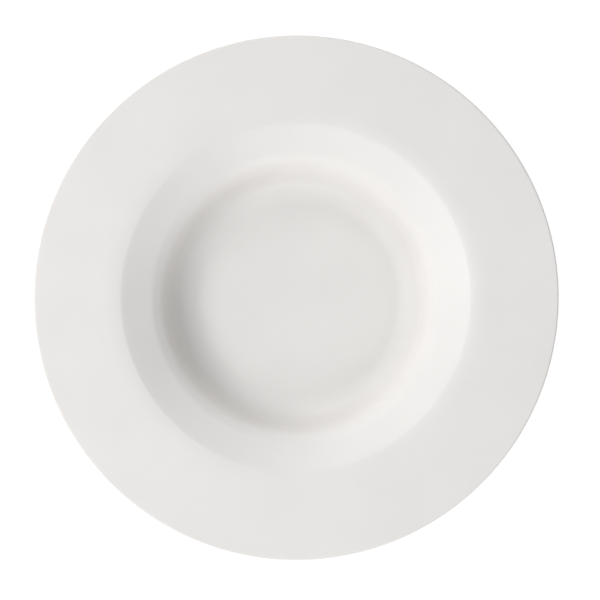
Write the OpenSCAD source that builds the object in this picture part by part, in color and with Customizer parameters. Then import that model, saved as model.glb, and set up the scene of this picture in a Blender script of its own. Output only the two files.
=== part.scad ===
// Pasta bowl with a wide rim: a porcelain body that stands on a foot ring, under two coats of glaze.
// Sizes are in millimetres and angles in degrees. +Z is up.
// The origin is on the bowl's axis, at the height of the table that it stands on.

/* [Rim] */
// Diameter over the rim
rim_d = 300; // [280:1:330]
// Upward tilt of the rim
rim_tilt = 4; // [0:0.5:6]
// Thickness of the rim at its edge
edge_t = 4; // [3.5:0.1:5]
// Radius that rounds the rim's edge, above and below
edge_round = 1.7; // [0.8:0.1:1.7]
// Diameter at which the rim begins to fall towards the lip
fall_d = 210; // [205:1:228]
// Slope of that fall
fall_slope = 12; // [8:1:18]
// Radius that eases the rim into the fall
fall_round = 80; // [30:5:120]

/* [Well] */
// Diameter of the lip, where the fall ends and the ledge turns down into the well
lip_d = 200; // [190:1:204]
// Radius that rounds the lip
lip_round = 6; // [5:0.5:12]
// Slope of the ledge below the lip
ledge_slope = 30; // [24:1:36]
// Diameter of the ledge's bend, inside which it is steeper
bend_d = 166; // [160:1:176]
// Radius that rounds the bend
bend_round = 15; // [8:1:30]
// Slope of the ledge inside the bend
bend_slope = 41; // [34:1:48]
// Diameter of the shoulder, where the ledge turns down into the wall
shoulder_d = 155; // [146:1:158]
// Radius that rounds the shoulder
shoulder_round = 13; // [6:0.5:16]
// Slope of the wall below the shoulder
wall_slope = 66; // [56:1:74]
// Depth of the floor below the lip
well_depth = 35.5; // [30:0.5:42]
// Radius of the cove between the wall and the floor
cove_round = 19; // [12:1:28]

/* [Body] */
// Thickness of the rim, the ledge and the wall
wall_t = 4.5; // [4:0.1:5.5]
// Thickness of the floor inside the foot ring
floor_t = 5; // [4:0.1:7]
// Radius of the cove's underside
under_round = 20; // [10:1:26]
// Smallest radius of the hollows under the rim, the lip, the ledge and the shoulder
hollow_round = 10; // [6:1:20]

/* [Foot ring] */
// Diameter over the foot ring at the table
foot_d = 100; // [80:1:104]
// Width of the face that it stands on
foot_w = 4; // [3:0.1:7]
// Height of the base above the table, inside the ring
foot_h = 4; // [3:0.1:7]
// Draft of the ring's two sides
foot_draft = 12; // [5:1:20]
// Radius of the fillets where the ring joins the base
foot_fillet = 2.5; // [1:0.1:4]
// Radius that rounds the ring's two lower edges
foot_round = 0.8; // [0.5:0.1:1.2]

/* [Glaze] */
// Thickness of the glaze
glaze_t = 0.3; // [0.2:0.05:0.5]
// Height of the bare band that is wiped free of glaze on the ring
bare_h = 1.6; // [1.2:0.1:2.2]

/* [Hidden] */
// Largest distance between an arc and the chords that stand for it
arc_error = 0.01;
$fn = 180;

// Clearance between two bends of the face, which the clay needs to follow both
bend_gap = wall_t / 2;

// Radii from the axis. The lip moves in with the fall's start and the bend moves out with the shoulder,
// where these would come closer than the clearance.
fall_r = fall_d / 2;
shoulder_r = shoulder_d / 2;
lip_r = max(min(lip_d / 2, fall_r - bend_gap), shoulder_r + 2 * bend_gap);
bend_r = max(min(bend_d / 2, lip_r - bend_gap), shoulder_r + bend_gap);
foot_mid_r = (foot_d - foot_w) / 2;

// Heights above the table: up to the rim's edge, and from the lip down to the shoulder
floor_z = foot_h + floor_t;
lip_z = floor_z + well_depth;
fall_z = lip_z + (fall_r - lip_r) * tan(fall_slope);
edge_z = fall_z + (rim_d / 2 - fall_r) * tan(rim_tilt);
bend_z = lip_z - (lip_r - bend_r) * tan(ledge_slope);
shoulder_z = bend_z - (bend_r - shoulder_r) * tan(bend_slope);

// Where the wall would meet the floor, and how far the draft carries the ring's inner side
corner_r = shoulder_r - (shoulder_z - floor_z) / tan(wall_slope);
ring_run = foot_h * tan(foot_draft);

// A path is a list of corners [r, z, radius], from the axis out along the top and back along the underside.
// The material lies to the right of each edge.
function spot(corner) = [corner.x, corner.y];
function unit(v) = v / norm(v);
function inward(from, to) = let (along = unit(spot(to) - spot(from))) [along.y, -along.x];
function turn_at(path, i) =
    let (a = inward(path[i - 1], path[i]), b = inward(path[i], path[i + 1])) atan2(cross(a, b), a * b);

// The same path, moved inwards by a distance. A corner that sticks out gets tighter and a hollow one wider.
function inset(path, distance) = [
    for (i = [0:len(path) - 1])
        let (
            last = len(path) - 1,
            before = inward(path[max(i - 1, 0)], path[max(i, 1)]),
            after = inward(path[min(i, last - 1)], path[min(i + 1, last)]),
            moved = spot(path[i]) + (before + after) * distance / (1 + before * after),
            bend = i == 0 || i == last ? 0 : sign(turn_at(path, i))
        )
        [moved.x, moved.y, max(path[i][2] + bend * distance, 0)]
];

// How far an arc reaches along each edge from its corner. Arcs that share a short edge share its length.
function wanted_reach(path, i) =
    i <= 0 || i >= len(path) - 1 ? 0 : path[i][2] * tan(abs(turn_at(path, i)) / 2);
function edge_share(path, i) =
    let (wanted = wanted_reach(path, i) + wanted_reach(path, i + 1))
    wanted > 0 ? min(1, norm(spot(path[i + 1]) - spot(path[i])) / wanted) : 1;
function reach(path, i) = wanted_reach(path, i) * min(edge_share(path, i - 1), edge_share(path, i));

// The points of the arc that rounds one corner, from its first edge to its second
function arc(path, i) =
    let (
        turn = turn_at(path, i),
        along = reach(path, i),
        radius = along / tan(abs(turn) / 2),
        normal = inward(path[i - 1], path[i]),
        start = spot(path[i]) + [normal.y, -normal.x] * along,
        centre = start - normal * radius * sign(turn),
        steps = ceil(abs(turn) / (2 * acos(1 - arc_error / max(radius, arc_error))))
    )
    [for (k = [0:steps]) centre + rotated(start - centre, turn * k / steps)];
function rotated(v, angle) = [v.x * cos(angle) - v.y * sin(angle), v.x * sin(angle) + v.y * cos(angle)];

// The path's outline, with an arc at each corner that has room for one
function rounded(path) = [
    for (i = [0:len(path) - 1])
        each reach(path, i) > arc_error ? arc(path, i) : [spot(path[i])]
];

// The upper face, from the centre of the floor to the rim's edge
face = [
    [0, floor_z, 0],
    [corner_r, floor_z, cove_round],
    [shoulder_r, shoulder_z, shoulder_round],
    [bend_r, bend_z, bend_round],
    [lip_r, lip_z, lip_round],
    [fall_r, fall_z, fall_round],
    [rim_d / 2, edge_z, edge_round]
];

// The underside keeps the wall's thickness below the face. From the rim's edge it runs in under each bend
// of the face as far as the cove, then round the foot ring and along the base to the axis.
back = inset(face, wall_t);
cove = back[1];
underside = [
    [rim_d / 2, edge_z - edge_t, edge_round],
    for (i = [len(back) - 2:-1:2])
        [back[i].x, back[i].y, max(back[i][2], hollow_round)],
    [cove.x, cove.y, under_round],
    [foot_d / 2 + (cove.y + glaze_t) * tan(foot_draft), cove.y, foot_fillet],
    [foot_d / 2, -glaze_t, foot_round],
    [foot_d / 2 - foot_w, -glaze_t, foot_round],
    [foot_d / 2 - foot_w - ring_run, foot_h, foot_fillet],
    [0, foot_h, 0]
];

// The outside of the glaze, and of the body under it
glazed = concat(face, underside);
bare = inset(glazed, glaze_t);

// The skin between the two, cut off above the bare band
module glaze_section() {
    difference() {
        polygon(rounded(glazed));
        polygon(rounded(bare));
        translate([0, -foot_h]) square([rim_d, foot_h + bare_h]);
    }
}

// The space below the floor, out to the middle of the foot ring
module under_floor() {
    square([foot_mid_r, floor_z - glaze_t]);
}

// Jiggered, biscuit-fired porcelain: the floor, wall, ledge, rim and foot ring are one piece of clay.
module porcelain_body() {
    color("linen") rotate_extrude() polygon(rounded(bare));
}

// Glaze over the face, round the rim's edge and down the underside to the bare band on the foot ring
module glaze_coat() {
    color("white") rotate_extrude() difference() {
        glaze_section();
        under_floor();
    }
}

// Glaze inside the foot ring, cut off from the coat outside by the bare band
module base_glaze() {
    color("white") rotate_extrude() intersection() {
        glaze_section();
        under_floor();
    }
}

porcelain_body();
glaze_coat();
base_glaze();
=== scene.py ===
import bpy
import numpy as np
from mathutils import Matrix, Vector


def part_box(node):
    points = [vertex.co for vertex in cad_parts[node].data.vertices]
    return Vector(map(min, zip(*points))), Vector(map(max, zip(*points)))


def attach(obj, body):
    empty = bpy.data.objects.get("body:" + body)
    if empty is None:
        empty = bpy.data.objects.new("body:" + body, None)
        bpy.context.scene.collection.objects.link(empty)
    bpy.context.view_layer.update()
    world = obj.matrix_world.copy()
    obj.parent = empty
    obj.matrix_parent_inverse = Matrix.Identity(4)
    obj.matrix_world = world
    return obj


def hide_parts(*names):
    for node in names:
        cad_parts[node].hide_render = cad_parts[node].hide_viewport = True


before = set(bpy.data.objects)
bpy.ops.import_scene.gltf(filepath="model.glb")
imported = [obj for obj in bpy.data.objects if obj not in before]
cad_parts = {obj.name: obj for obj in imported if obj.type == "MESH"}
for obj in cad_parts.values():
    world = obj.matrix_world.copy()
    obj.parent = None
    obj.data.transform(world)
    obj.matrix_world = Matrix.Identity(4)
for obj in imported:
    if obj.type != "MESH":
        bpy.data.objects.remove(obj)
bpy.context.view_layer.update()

# Porcelain body. Soft clay is spread on a turning plaster mould and pressed by a profile tool, then dried
# and fired to a hard white biscuit, so that floor, wall, ledge, rim and foot ring are one piece.
# The glaze hides it, apart from the band at the foot of the ring that is wiped clean to stand in the kiln.

# Radii from the axis, heights and thicknesses in metres, and slopes in degrees
rim_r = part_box("glaze_coat")[1].x
rim_tilt = 4.0
edge_t = 0.004
edge_round = 0.0008
edge_undercut = 0.0006
under_edge_round = 0.0017
fall_r = 0.105
fall_slope = 12.0
fall_round = 0.080
lip_r = 0.100
lip_round = 0.006
ledge_slope = 30.0
bend_r = 0.083
bend_round = 0.015
bend_slope = 41.0
shoulder_r = 0.0775
shoulder_round = 0.013
wall_slope = 66.0
well_depth = 0.0355
cove_round = 0.019
wall_t = 0.0045
floor_t = 0.005
under_round = 0.020
hollow_round = 0.010
foot_r = 0.050
foot_w = 0.004
foot_h = 0.004
foot_draft = 12.0
foot_fillet = 0.0025
foot_round = 0.0008
glaze_t = 0.0003
bare_h = 0.0016

# Tone of the biscuit where it is worn and where it is clean, and how far up from the table wear reaches
worn_tone = (0.56, 0.53, 0.495, 1)
clean_tone = (0.78, 0.75, 0.70, 1)
wear_height = 0.0004

# Points on each arc, and how finely the finished outline and the full turn are cut into faces
ARC_POINTS = 25
STEP_ANGLE = np.radians(7.0)
STEP_LENGTH = 0.005
TURN_STEPS = 336

# Stands in for zero where something is divided by it
TINY = 1e-9


def rise(degrees):
    """Rise over run of a slope that is given in degrees."""
    return np.tan(np.radians(degrees))


def inward_normals(path):
    """Unit normal of each edge, a quarter turn to the right of the edge, where the material lies."""
    along = np.diff(path[:, :2], axis=0)
    along /= np.linalg.norm(along, axis=1, keepdims=True)
    return np.stack([along[:, 1], -along[:, 0]], axis=1)


def corner_turns(path):
    """Angle by which the path turns at each corner, to the left as positive: the arc tangent of the cross
    product over the dot product of the normals before and after it. The two ends don't turn."""
    before, after = inward_normals(path)[:-1], inward_normals(path)[1:]
    cross = before[:, 0] * after[:, 1] - before[:, 1] * after[:, 0]
    return np.pad(np.arctan2(cross, (before * after).sum(axis=1)), 1)


def inset(path, distance):
    """The path, moved into the material: each corner goes along the sum of its two normals, over one plus
    their dot product. A corner that sticks out gets tighter by the distance, and a hollow one wider."""
    normals = inward_normals(path)
    before, after = np.vstack([normals[:1], normals]), np.vstack([normals, normals[-1:]])
    moved = path.copy()
    moved[:, :2] += distance * (before + after) / (1 + (before * after).sum(axis=1, keepdims=True))
    moved[:, 2] = np.maximum(path[:, 2] + np.sign(corner_turns(path)) * distance, 0)
    return moved


def swung(vectors, angles):
    """Each vector, turned by each angle of its row: the cosine along itself and the sine to its left."""
    left = np.stack([-vectors[:, 1], vectors[:, 0]], axis=1)
    return vectors[:, None] * np.cos(angles)[..., None] + left[:, None] * np.sin(angles)[..., None]


def rounded(path):
    """Points of the outline, with an arc at each corner of the path, and their outward normals. An arc
    starts its radius times the tangent of half the turn before the corner, and less where two arcs share
    an edge that is short. Its points are its first arm, swung about the centre. The outline is then cut
    anew at equal steps of a measure that adds its length and its turning, each over its own step."""
    turns = corner_turns(path)
    normals = np.vstack([inward_normals(path)[:1], inward_normals(path)])
    half = np.maximum(np.tan(np.abs(turns) / 2), TINY)
    wanted = path[:, 2] * half
    lengths = np.linalg.norm(np.diff(path[:, :2], axis=0), axis=1)
    share = np.minimum(lengths / np.maximum(wanted[:-1] + wanted[1:], TINY), 1)
    reach = wanted * np.minimum(np.append(share, 1), np.insert(share, 0, 1))
    start = path[:, :2] + np.stack([normals[:, 1], -normals[:, 0]], axis=1) * reach[:, None]
    arm = normals * (np.sign(turns) * reach / half)[:, None]
    angles = turns[:, None] * np.linspace(0, 1, ARC_POINTS)
    points = ((start - arm)[:, None] + swung(arm, angles)).reshape(-1, 2)
    outward = -swung(normals, angles).reshape(-1, 2)
    length = np.linalg.norm(np.diff(points, axis=0), axis=1)
    turning = np.linalg.norm(np.diff(outward, axis=0), axis=1)
    steps = np.insert(np.cumsum(length / STEP_LENGTH + turning / STEP_ANGLE), 0, 0)
    cuts = np.linspace(0, steps[-1], int(steps[-1]) + 1)
    columns = [np.interp(cuts, steps, column) for column in np.hstack([points, outward]).T]
    return np.stack(columns[:2], axis=1), np.stack(columns[2:], axis=1)


def spun(outline):
    """The outline's radius r and height z, turned about the axis: (r cos a, r sin a, z) at equal steps of
    the angle a. The two ends lie on the axis, so each gives one point."""
    angle = np.linspace(0, 2 * np.pi, TURN_STEPS, endpoint=False)
    r, z = outline[:, :1], outline[:, 1:]
    grid = np.stack([r * np.cos(angle), r * np.sin(angle), z + 0 * angle], axis=2)
    return np.concatenate([grid[0, :1], grid[1:-1].reshape(-1, 3), grid[-1, :1]])


def turned_piece(name, path):
    """Surface of revolution from the path's rounded outline: a fan of triangles at each end, and between
    them one quad for each step along the outline and each step of the turn."""
    points, outward = rounded(path)
    here = 1 + np.arange((len(points) - 2) * TURN_STEPS).reshape(-1, TURN_STEPS)
    ahead = np.roll(here, -1, axis=1)
    quads = np.stack([here[:-1], here[1:], ahead[1:], ahead[:-1]], axis=2).reshape(-1, 4)
    first = np.stack([np.zeros_like(here[0]), here[0], ahead[0]], axis=1)
    last = np.stack([ahead[-1], here[-1], np.full_like(here[-1], here.max() + 1)], axis=1)
    mesh = bpy.data.meshes.new(name)
    mesh.from_pydata(spun(points), [], first.tolist() + quads.tolist() + last.tolist())
    mesh.shade_smooth()
    mesh.normals_split_custom_set_from_vertices(spun(outward))
    piece = bpy.data.objects.new(name, mesh)
    bpy.context.scene.collection.objects.link(piece)
    return piece


# Each corner is its radius, its height and the radius that rounds it. The face runs from the floor's
# centre to the rim's edge, the back from there to the top of the foot ring, the ring round its standing
# face, and the base from the ring to the axis.
floor_z = foot_h + floor_t
lip_z = floor_z + well_depth
fall_z = lip_z + (fall_r - lip_r) * rise(fall_slope)
edge_z = fall_z + (rim_r - fall_r) * rise(rim_tilt)
bend_z = lip_z - (lip_r - bend_r) * rise(ledge_slope)
shoulder_z = bend_z - (bend_r - shoulder_r) * rise(bend_slope)
corner_r = shoulder_r - (shoulder_z - floor_z) / rise(wall_slope)
face = np.array([
    [0, floor_z, 0],
    [corner_r, floor_z, cove_round],
    [shoulder_r, shoulder_z, shoulder_round],
    [bend_r, bend_z, bend_round],
    [lip_r, lip_z, lip_round],
    [fall_r, fall_z, fall_round],
    [rim_r, edge_z, edge_round],
])
hollows = inset(face, wall_t)[-2:0:-1]
hollows[:, 2] = np.maximum(hollows[:, 2], hollow_round)
hollows[-1, 2] = under_round
base_z = hollows[-1, 1]
back = np.vstack([
    [rim_r - edge_undercut, edge_z - edge_t, under_edge_round],
    hollows,
    [foot_r + (base_z + glaze_t) * rise(foot_draft), base_z, foot_fillet],
])
ring = np.array([
    [foot_r, -glaze_t, foot_round],
    [foot_r - foot_w, -glaze_t, foot_round],
])
base = np.array([
    [foot_r - foot_w - foot_h * rise(foot_draft), foot_h, foot_fillet],
    [0, foot_h, 0],
])
glazed = np.vstack([face, back, ring, base])
biscuit = inset(glazed, glaze_t)


def put(tree, kind, sockets=(), **settings):
    """Adds a node to a tree, with its settings. An input that is given another node's output is linked to
    it, and an input that is given a value is set to it."""
    node = tree.nodes.new(kind)
    for name, value in settings.items():
        setattr(node, name, value)
    for socket, value in dict(sockets).items():
        if isinstance(value, bpy.types.NodeSocket):
            tree.links.new(value, node.inputs[socket])
        else:
            node.inputs[socket].default_value = value
    return node


def new_finish(name):
    """A new material, its node tree, its main shader and the surface's own coordinates."""
    material = bpy.data.materials.new(name)
    material.use_nodes = True
    tree = material.node_tree
    place = put(tree, "ShaderNodeTexCoord").outputs["Object"]
    return material, tree, tree.nodes["Principled BSDF"], place


def bare_porcelain():
    """Unglazed porcelain: warm white and matt, with a fine sandy grain, and greyer where tables wear it.
    Patches of noise choose the tone, less a quarter at the table that falls to none where wear ends."""
    material, tree, shader, place = new_finish("bare_porcelain")
    grain = put(tree, "ShaderNodeTexNoise", {"Vector": place, "Scale": 2200, "Detail": 3})
    patches = put(tree, "ShaderNodeTexNoise", {"Vector": place, "Scale": 90, "Detail": 5})
    height = put(tree, "ShaderNodeSeparateXYZ", {"Vector": place}).outputs["Z"]
    wear = put(tree, "ShaderNodeMapRange",
               {"Value": height, "From Max": wear_height, "To Min": 0.25, "To Max": 0})
    clean = put(tree, "ShaderNodeMath", {0: patches.outputs["Fac"], 1: wear.outputs["Result"]},
                operation="SUBTRACT")
    tone = put(tree, "ShaderNodeValToRGB", {"Fac": clean.outputs["Value"]})
    tone.color_ramp.elements[0].color = worn_tone
    tone.color_ramp.elements[0].position = 0.15
    tone.color_ramp.elements[1].color = clean_tone
    tone.color_ramp.elements[1].position = 0.55
    sand = put(tree, "ShaderNodeBump",
               {"Height": grain.outputs["Fac"], "Strength": 0.4, "Distance": 0.0001})
    tree.links.new(tone.outputs["Color"], shader.inputs["Base Color"])
    tree.links.new(sand.outputs["Normal"], shader.inputs["Normal"])
    shader.inputs["Roughness"].default_value = 0.75
    return material


body = turned_piece("biscuit_body", biscuit)
body.data.materials.append(bare_porcelain())
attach(body, "root")
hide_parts("porcelain_body")

# Glaze coat. The biscuit is dipped in a slip of ground glass and fired again, so that the slip melts to a
# smooth warm white skin over the face, round the rim's edge and down the underside. Its colour has painted
# shade: greyer in the cove and on level surfaces, lighter on slopes. The coat ends in a soft bead above the
# foot ring's bare band.

# Radius that rounds the bead
bead_round = 0.00014

# Painted shade: how far along the outline a hollow gathers it, the turn in radians that fills it, the shade
# that a level surface gets, and the slope in degrees that gets none
shade_reach = 0.008
shade_turn = 0.8
level_shade = 0.4
unshaded_slope = 30.0

# Tone where the clouds are dark and the painted shade is full, tone where the clouds are light, and how much
# the painted shade counts beside the clouds
dark_cloud_and_shade_tone = (0.758, 0.740, 0.725, 1)
light_cloud_tone = (0.822, 0.803, 0.787, 1)
shade_weight = 0.8


def paint_glaze_shade(piece, path):
    """Stores painted shade at each vertex, from zero to one, which darkens the glaze's colour in the cove
    and on level surfaces. A level surface gets the level shade, and a slope less, in step with its cosine,
    down to none. A hollow adds the angle by which the outline turns, from a reach before the point to a
    reach after it, over the turn that fills it."""
    points, outward = rounded(path)
    length = np.insert(np.cumsum(np.linalg.norm(np.diff(points, axis=0), axis=1)), 0, 0)
    heading = np.unwrap(np.arctan2(outward[:, 1], outward[:, 0]))
    ahead, behind = [np.interp(length + step, length, heading) for step in (shade_reach, -shade_reach)]
    steepest = np.cos(np.radians(unshaded_slope))
    flatness = np.clip((np.abs(outward[:, 1]) - steepest) / (1 - steepest), 0, 1)
    shade_amount = np.clip(level_shade * flatness + np.clip((ahead - behind) / shade_turn, 0, 1), 0, 1)
    shade_amounts = np.concatenate([shade_amount[:1], np.repeat(shade_amount[1:-1], TURN_STEPS), shade_amount[-1:]])
    layer = piece.data.attributes.new("painted_glaze_shade", "FLOAT", "POINT")
    layer.data.foreach_set("value", shade_amounts)


def warm_white_glaze():
    """Porcelain glaze: glassy and warm white, with the soft ripple of melted glass. Broad clouds of noise
    choose the tone, less the painted shade times its weight, so that the cove and level surfaces are painted
    a little greyer."""
    material, tree, shader, place = new_finish("warm_white_glaze")
    clouds = put(tree, "ShaderNodeTexNoise", {"Vector": place, "Scale": 24, "Detail": 3})
    # Painted shade from the mesh attribute: darker in the cove and on level surfaces
    shade_amount = put(tree, "ShaderNodeAttribute", attribute_name="painted_glaze_shade")
    clouds_less_shade = put(tree, "ShaderNodeMath",
               {0: shade_amount.outputs["Fac"], 1: -shade_weight, 2: clouds.outputs["Fac"]},
               operation="MULTIPLY_ADD")
    shade = put(tree, "ShaderNodeMapRange",
                {"Value": clouds_less_shade.outputs["Value"], "From Min": -0.4, "From Max": 0.6})
    tone = put(tree, "ShaderNodeValToRGB", {"Fac": shade.outputs["Result"]})
    tone.color_ramp.elements[0].color = dark_cloud_and_shade_tone
    tone.color_ramp.elements[1].color = light_cloud_tone
    ripple = put(tree, "ShaderNodeTexNoise", {"Vector": place, "Scale": 130, "Detail": 1})
    skin = put(tree, "ShaderNodeBump",
               {"Height": ripple.outputs["Fac"], "Strength": 0.15, "Distance": 0.0001})
    gloss = put(tree, "ShaderNodeMapRange",
                {"Value": clouds.outputs["Fac"], "To Min": 0.12, "To Max": 0.2})
    tree.links.new(tone.outputs["Color"], shader.inputs["Base Color"])
    tree.links.new(skin.outputs["Normal"], shader.inputs["Normal"])
    tree.links.new(gloss.outputs["Result"], shader.inputs["Roughness"])
    return material


def at_band(upper, lower):
    """Corner on the line from one corner to another, at the height of the bare band, with the bead's radius.
    The share of the way to it is the share of the difference in height."""
    share = (bare_h - upper[1]) / (lower[1] - upper[1])
    return [*(upper + (lower - upper) * share)[:2], bead_round]


glaze = warm_white_glaze()
outside = np.vstack([face, back])
under_coat, under_ring, under_base = np.split(biscuit, [len(outside), len(outside) + len(ring)])
coat_path = np.vstack([
    outside,
    at_band(outside[-1], ring[0]),
    at_band(under_coat[-1], under_ring[0]),
    under_coat[::-1],
])
coat = turned_piece("outer_glaze", coat_path)
# Painted shade on the coat: darker in the cove and on level surfaces, lighter on slopes
paint_glaze_shade(coat, coat_path)
coat.data.materials.append(glaze)
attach(coat, "root")
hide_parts("glaze_coat")

# Base glaze. The same dip also covers the base inside the foot ring.
# The wiped band of the ring parts this disc from the coat outside.

disc_path = np.vstack([
    under_base[::-1],
    at_band(under_base[0], under_ring[1]),
    at_band(base[0], ring[1]),
    base,
])
disc = turned_piece("inner_base_glaze", disc_path)
# Painted shade on the base glaze: darker in hollows and on level surfaces, lighter on slopes
paint_glaze_shade(disc, disc_path)
disc.data.materials.append(glaze)
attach(disc, "root")
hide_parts("base_glaze")

# Floor. A wide sheet of white paper that the bowl stands on. It looks white to the camera and in
# reflections, and its matt part takes the bowl's shadow.

# Half the sheet's side and its distance below the foot, in metres. Then its glow and its grey where it is
# seen, and its grey where it only throws light back
floor_half = 3.0
floor_drop = 0.0002
floor_glow = 0.8
floor_grey = 0.45
floor_pale = 0.8


def seen_directly(tree):
    """One for a ray from the camera, or one that was mirrored or let through, and zero for any other: the
    largest of the three marks that a ray carries for these."""
    ray = put(tree, "ShaderNodeLightPath").outputs
    shown = put(tree, "ShaderNodeMath", {0: ray["Is Camera Ray"], 1: ray["Is Glossy Ray"]},
                operation="MAXIMUM")
    shown = put(tree, "ShaderNodeMath", {0: shown.outputs["Value"], 1: ray["Is Transmission Ray"]},
                operation="MAXIMUM")
    return shown.outputs["Value"]


def white_sheet():
    """Paper white: a grey matt surface plus a glow where it is seen, and else a pale matt surface."""
    material, tree, shader, _ = new_finish("white_sheet")
    tree.nodes.remove(shader)
    grey = put(tree, "ShaderNodeBsdfDiffuse", {"Color": (floor_grey, floor_grey, floor_grey, 1)})
    pale = put(tree, "ShaderNodeBsdfDiffuse", {"Color": (floor_pale, floor_pale, floor_pale, 1)})
    glow = put(tree, "ShaderNodeEmission", {"Strength": floor_glow})
    shown = put(tree, "ShaderNodeAddShader", {0: grey.outputs["BSDF"], 1: glow.outputs["Emission"]})
    paper = put(tree, "ShaderNodeMixShader",
                {0: seen_directly(tree), 1: pale.outputs["BSDF"], 2: shown.outputs["Shader"]})
    tree.links.new(paper.outputs["Shader"], tree.nodes["Material Output"].inputs["Surface"])
    return material


sheet = bpy.data.meshes.new("floor")
corners = np.array([[-1, -1, 0], [1, -1, 0], [1, 1, 0], [-1, 1, 0]]) * floor_half - [0, 0, floor_drop]
sheet.from_pydata(corners, [], [(0, 1, 2, 3)])
sheet.materials.append(white_sheet())
floor = bpy.data.objects.new("floor", sheet)
bpy.context.scene.collection.objects.link(floor)

# Light. A large soft box stands on the left, two more low at the back and at the front, and a weak one on
# the right. The room looks white and lights the bowl a little from all round. The glaze mirrors the room
# and the floor, but not the boxes.

# Height that the boxes face, their distance from there and their side, in metres, and the room's light
aim_height = 0.03
box_distance = 1.4
box_size = 1.0
room_level = 0.15


def soft_box(name, azimuth, zenith, level):
    """Square lamp in a direction from the bowl, turned to face it. Its power is the level times pi squared
    and the distance squared, so that a matt white surface that faces it shows about the level."""
    azimuth, zenith = np.radians(azimuth), np.radians(zenith)
    out = np.sin(zenith)
    towards = Vector((out * np.cos(azimuth), out * np.sin(azimuth), np.cos(zenith)))
    light = bpy.data.lights.new(name, "AREA")
    light.size = box_size
    light.energy = level * np.pi ** 2 * box_distance ** 2
    lamp = bpy.data.objects.new(name, light)
    lamp.location = towards * box_distance + Vector((0, 0, aim_height))
    lamp.rotation_euler = towards.to_track_quat("Z", "Y").to_euler()
    lamp.visible_glossy = False
    bpy.context.scene.collection.objects.link(lamp)


soft_box("left_box", azimuth=195, zenith=36, level=0.72)
soft_box("back_box", azimuth=120, zenith=75, level=0.63)
soft_box("front_box", azimuth=270, zenith=75, level=0.54)
soft_box("right_box", azimuth=0, zenith=52, level=0.14)

room = bpy.data.worlds.new("room")
room.use_nodes = True
tree = room.node_tree
lit = put(tree, "ShaderNodeBackground", {"Color": (1, 1, 1, 1), "Strength": room_level})
white = put(tree, "ShaderNodeBackground", {"Color": (1, 1, 1, 1)})
walls = put(tree, "ShaderNodeMixShader",
            {0: seen_directly(tree), 1: lit.outputs["Background"], 2: white.outputs["Background"]})
tree.links.new(walls.outputs["Shader"], tree.nodes["World Output"].inputs["Surface"])
bpy.context.scene.world = room

# Camera. It looks down on the bowl, a few degrees from the right and from the front.
# The lens and the shift put the rim's outline where the photograph has it.

# Side of the image, and the middle and half the width and height of the rim's outline in it, in pixels
image_side = 600
rim_centre = np.array([296.2, 297.9])
rim_half = np.array([262.4, 263.2])

# Distance in metres, lean of the view in degrees, and width of the sensor in millimetres
view_distance = 1.6
lean_right = 3.0
lean_front = 2.1
sensor = 36.0

# Directions of the camera's axes, then the rim as it falls on a plane at a distance of one
backward = np.array([rise(lean_right), -rise(lean_front), 1.0])
backward /= np.linalg.norm(backward)
right = np.cross([0, 1, 0], backward)
right /= np.linalg.norm(right)
up = np.cross(backward, right)
rim_middle = np.array([0, 0, edge_z - edge_round])
eye = rim_middle + backward * view_distance
angle = np.linspace(0, 2 * np.pi, TURN_STEPS, endpoint=False)
rim = rim_middle - eye + rim_r * np.stack([np.cos(angle), np.sin(angle), 0 * angle], axis=1)
flat = np.stack([rim @ right, rim @ up], axis=1) / -(rim @ backward)[:, None]
middle = (flat.max(axis=0) + flat.min(axis=0)) / 2
pixels = np.mean(rim_half / (flat.max(axis=0) - middle))
shift = (middle * pixels - (rim_centre - image_side / 2) * [1, -1]) / image_side

lens = bpy.data.cameras.new("camera")
lens.sensor_width = sensor
lens.lens = sensor * pixels / image_side
lens.shift_x, lens.shift_y = shift
camera = bpy.data.objects.new("camera", lens)
camera.matrix_world = Matrix.Translation(eye) @ Matrix(np.stack([right, up, backward], axis=1)).to_4x4()
bpy.context.scene.collection.objects.link(camera)
bpy.context.scene.camera = camera
bpy.context.scene.view_settings.view_transform = "Standard"
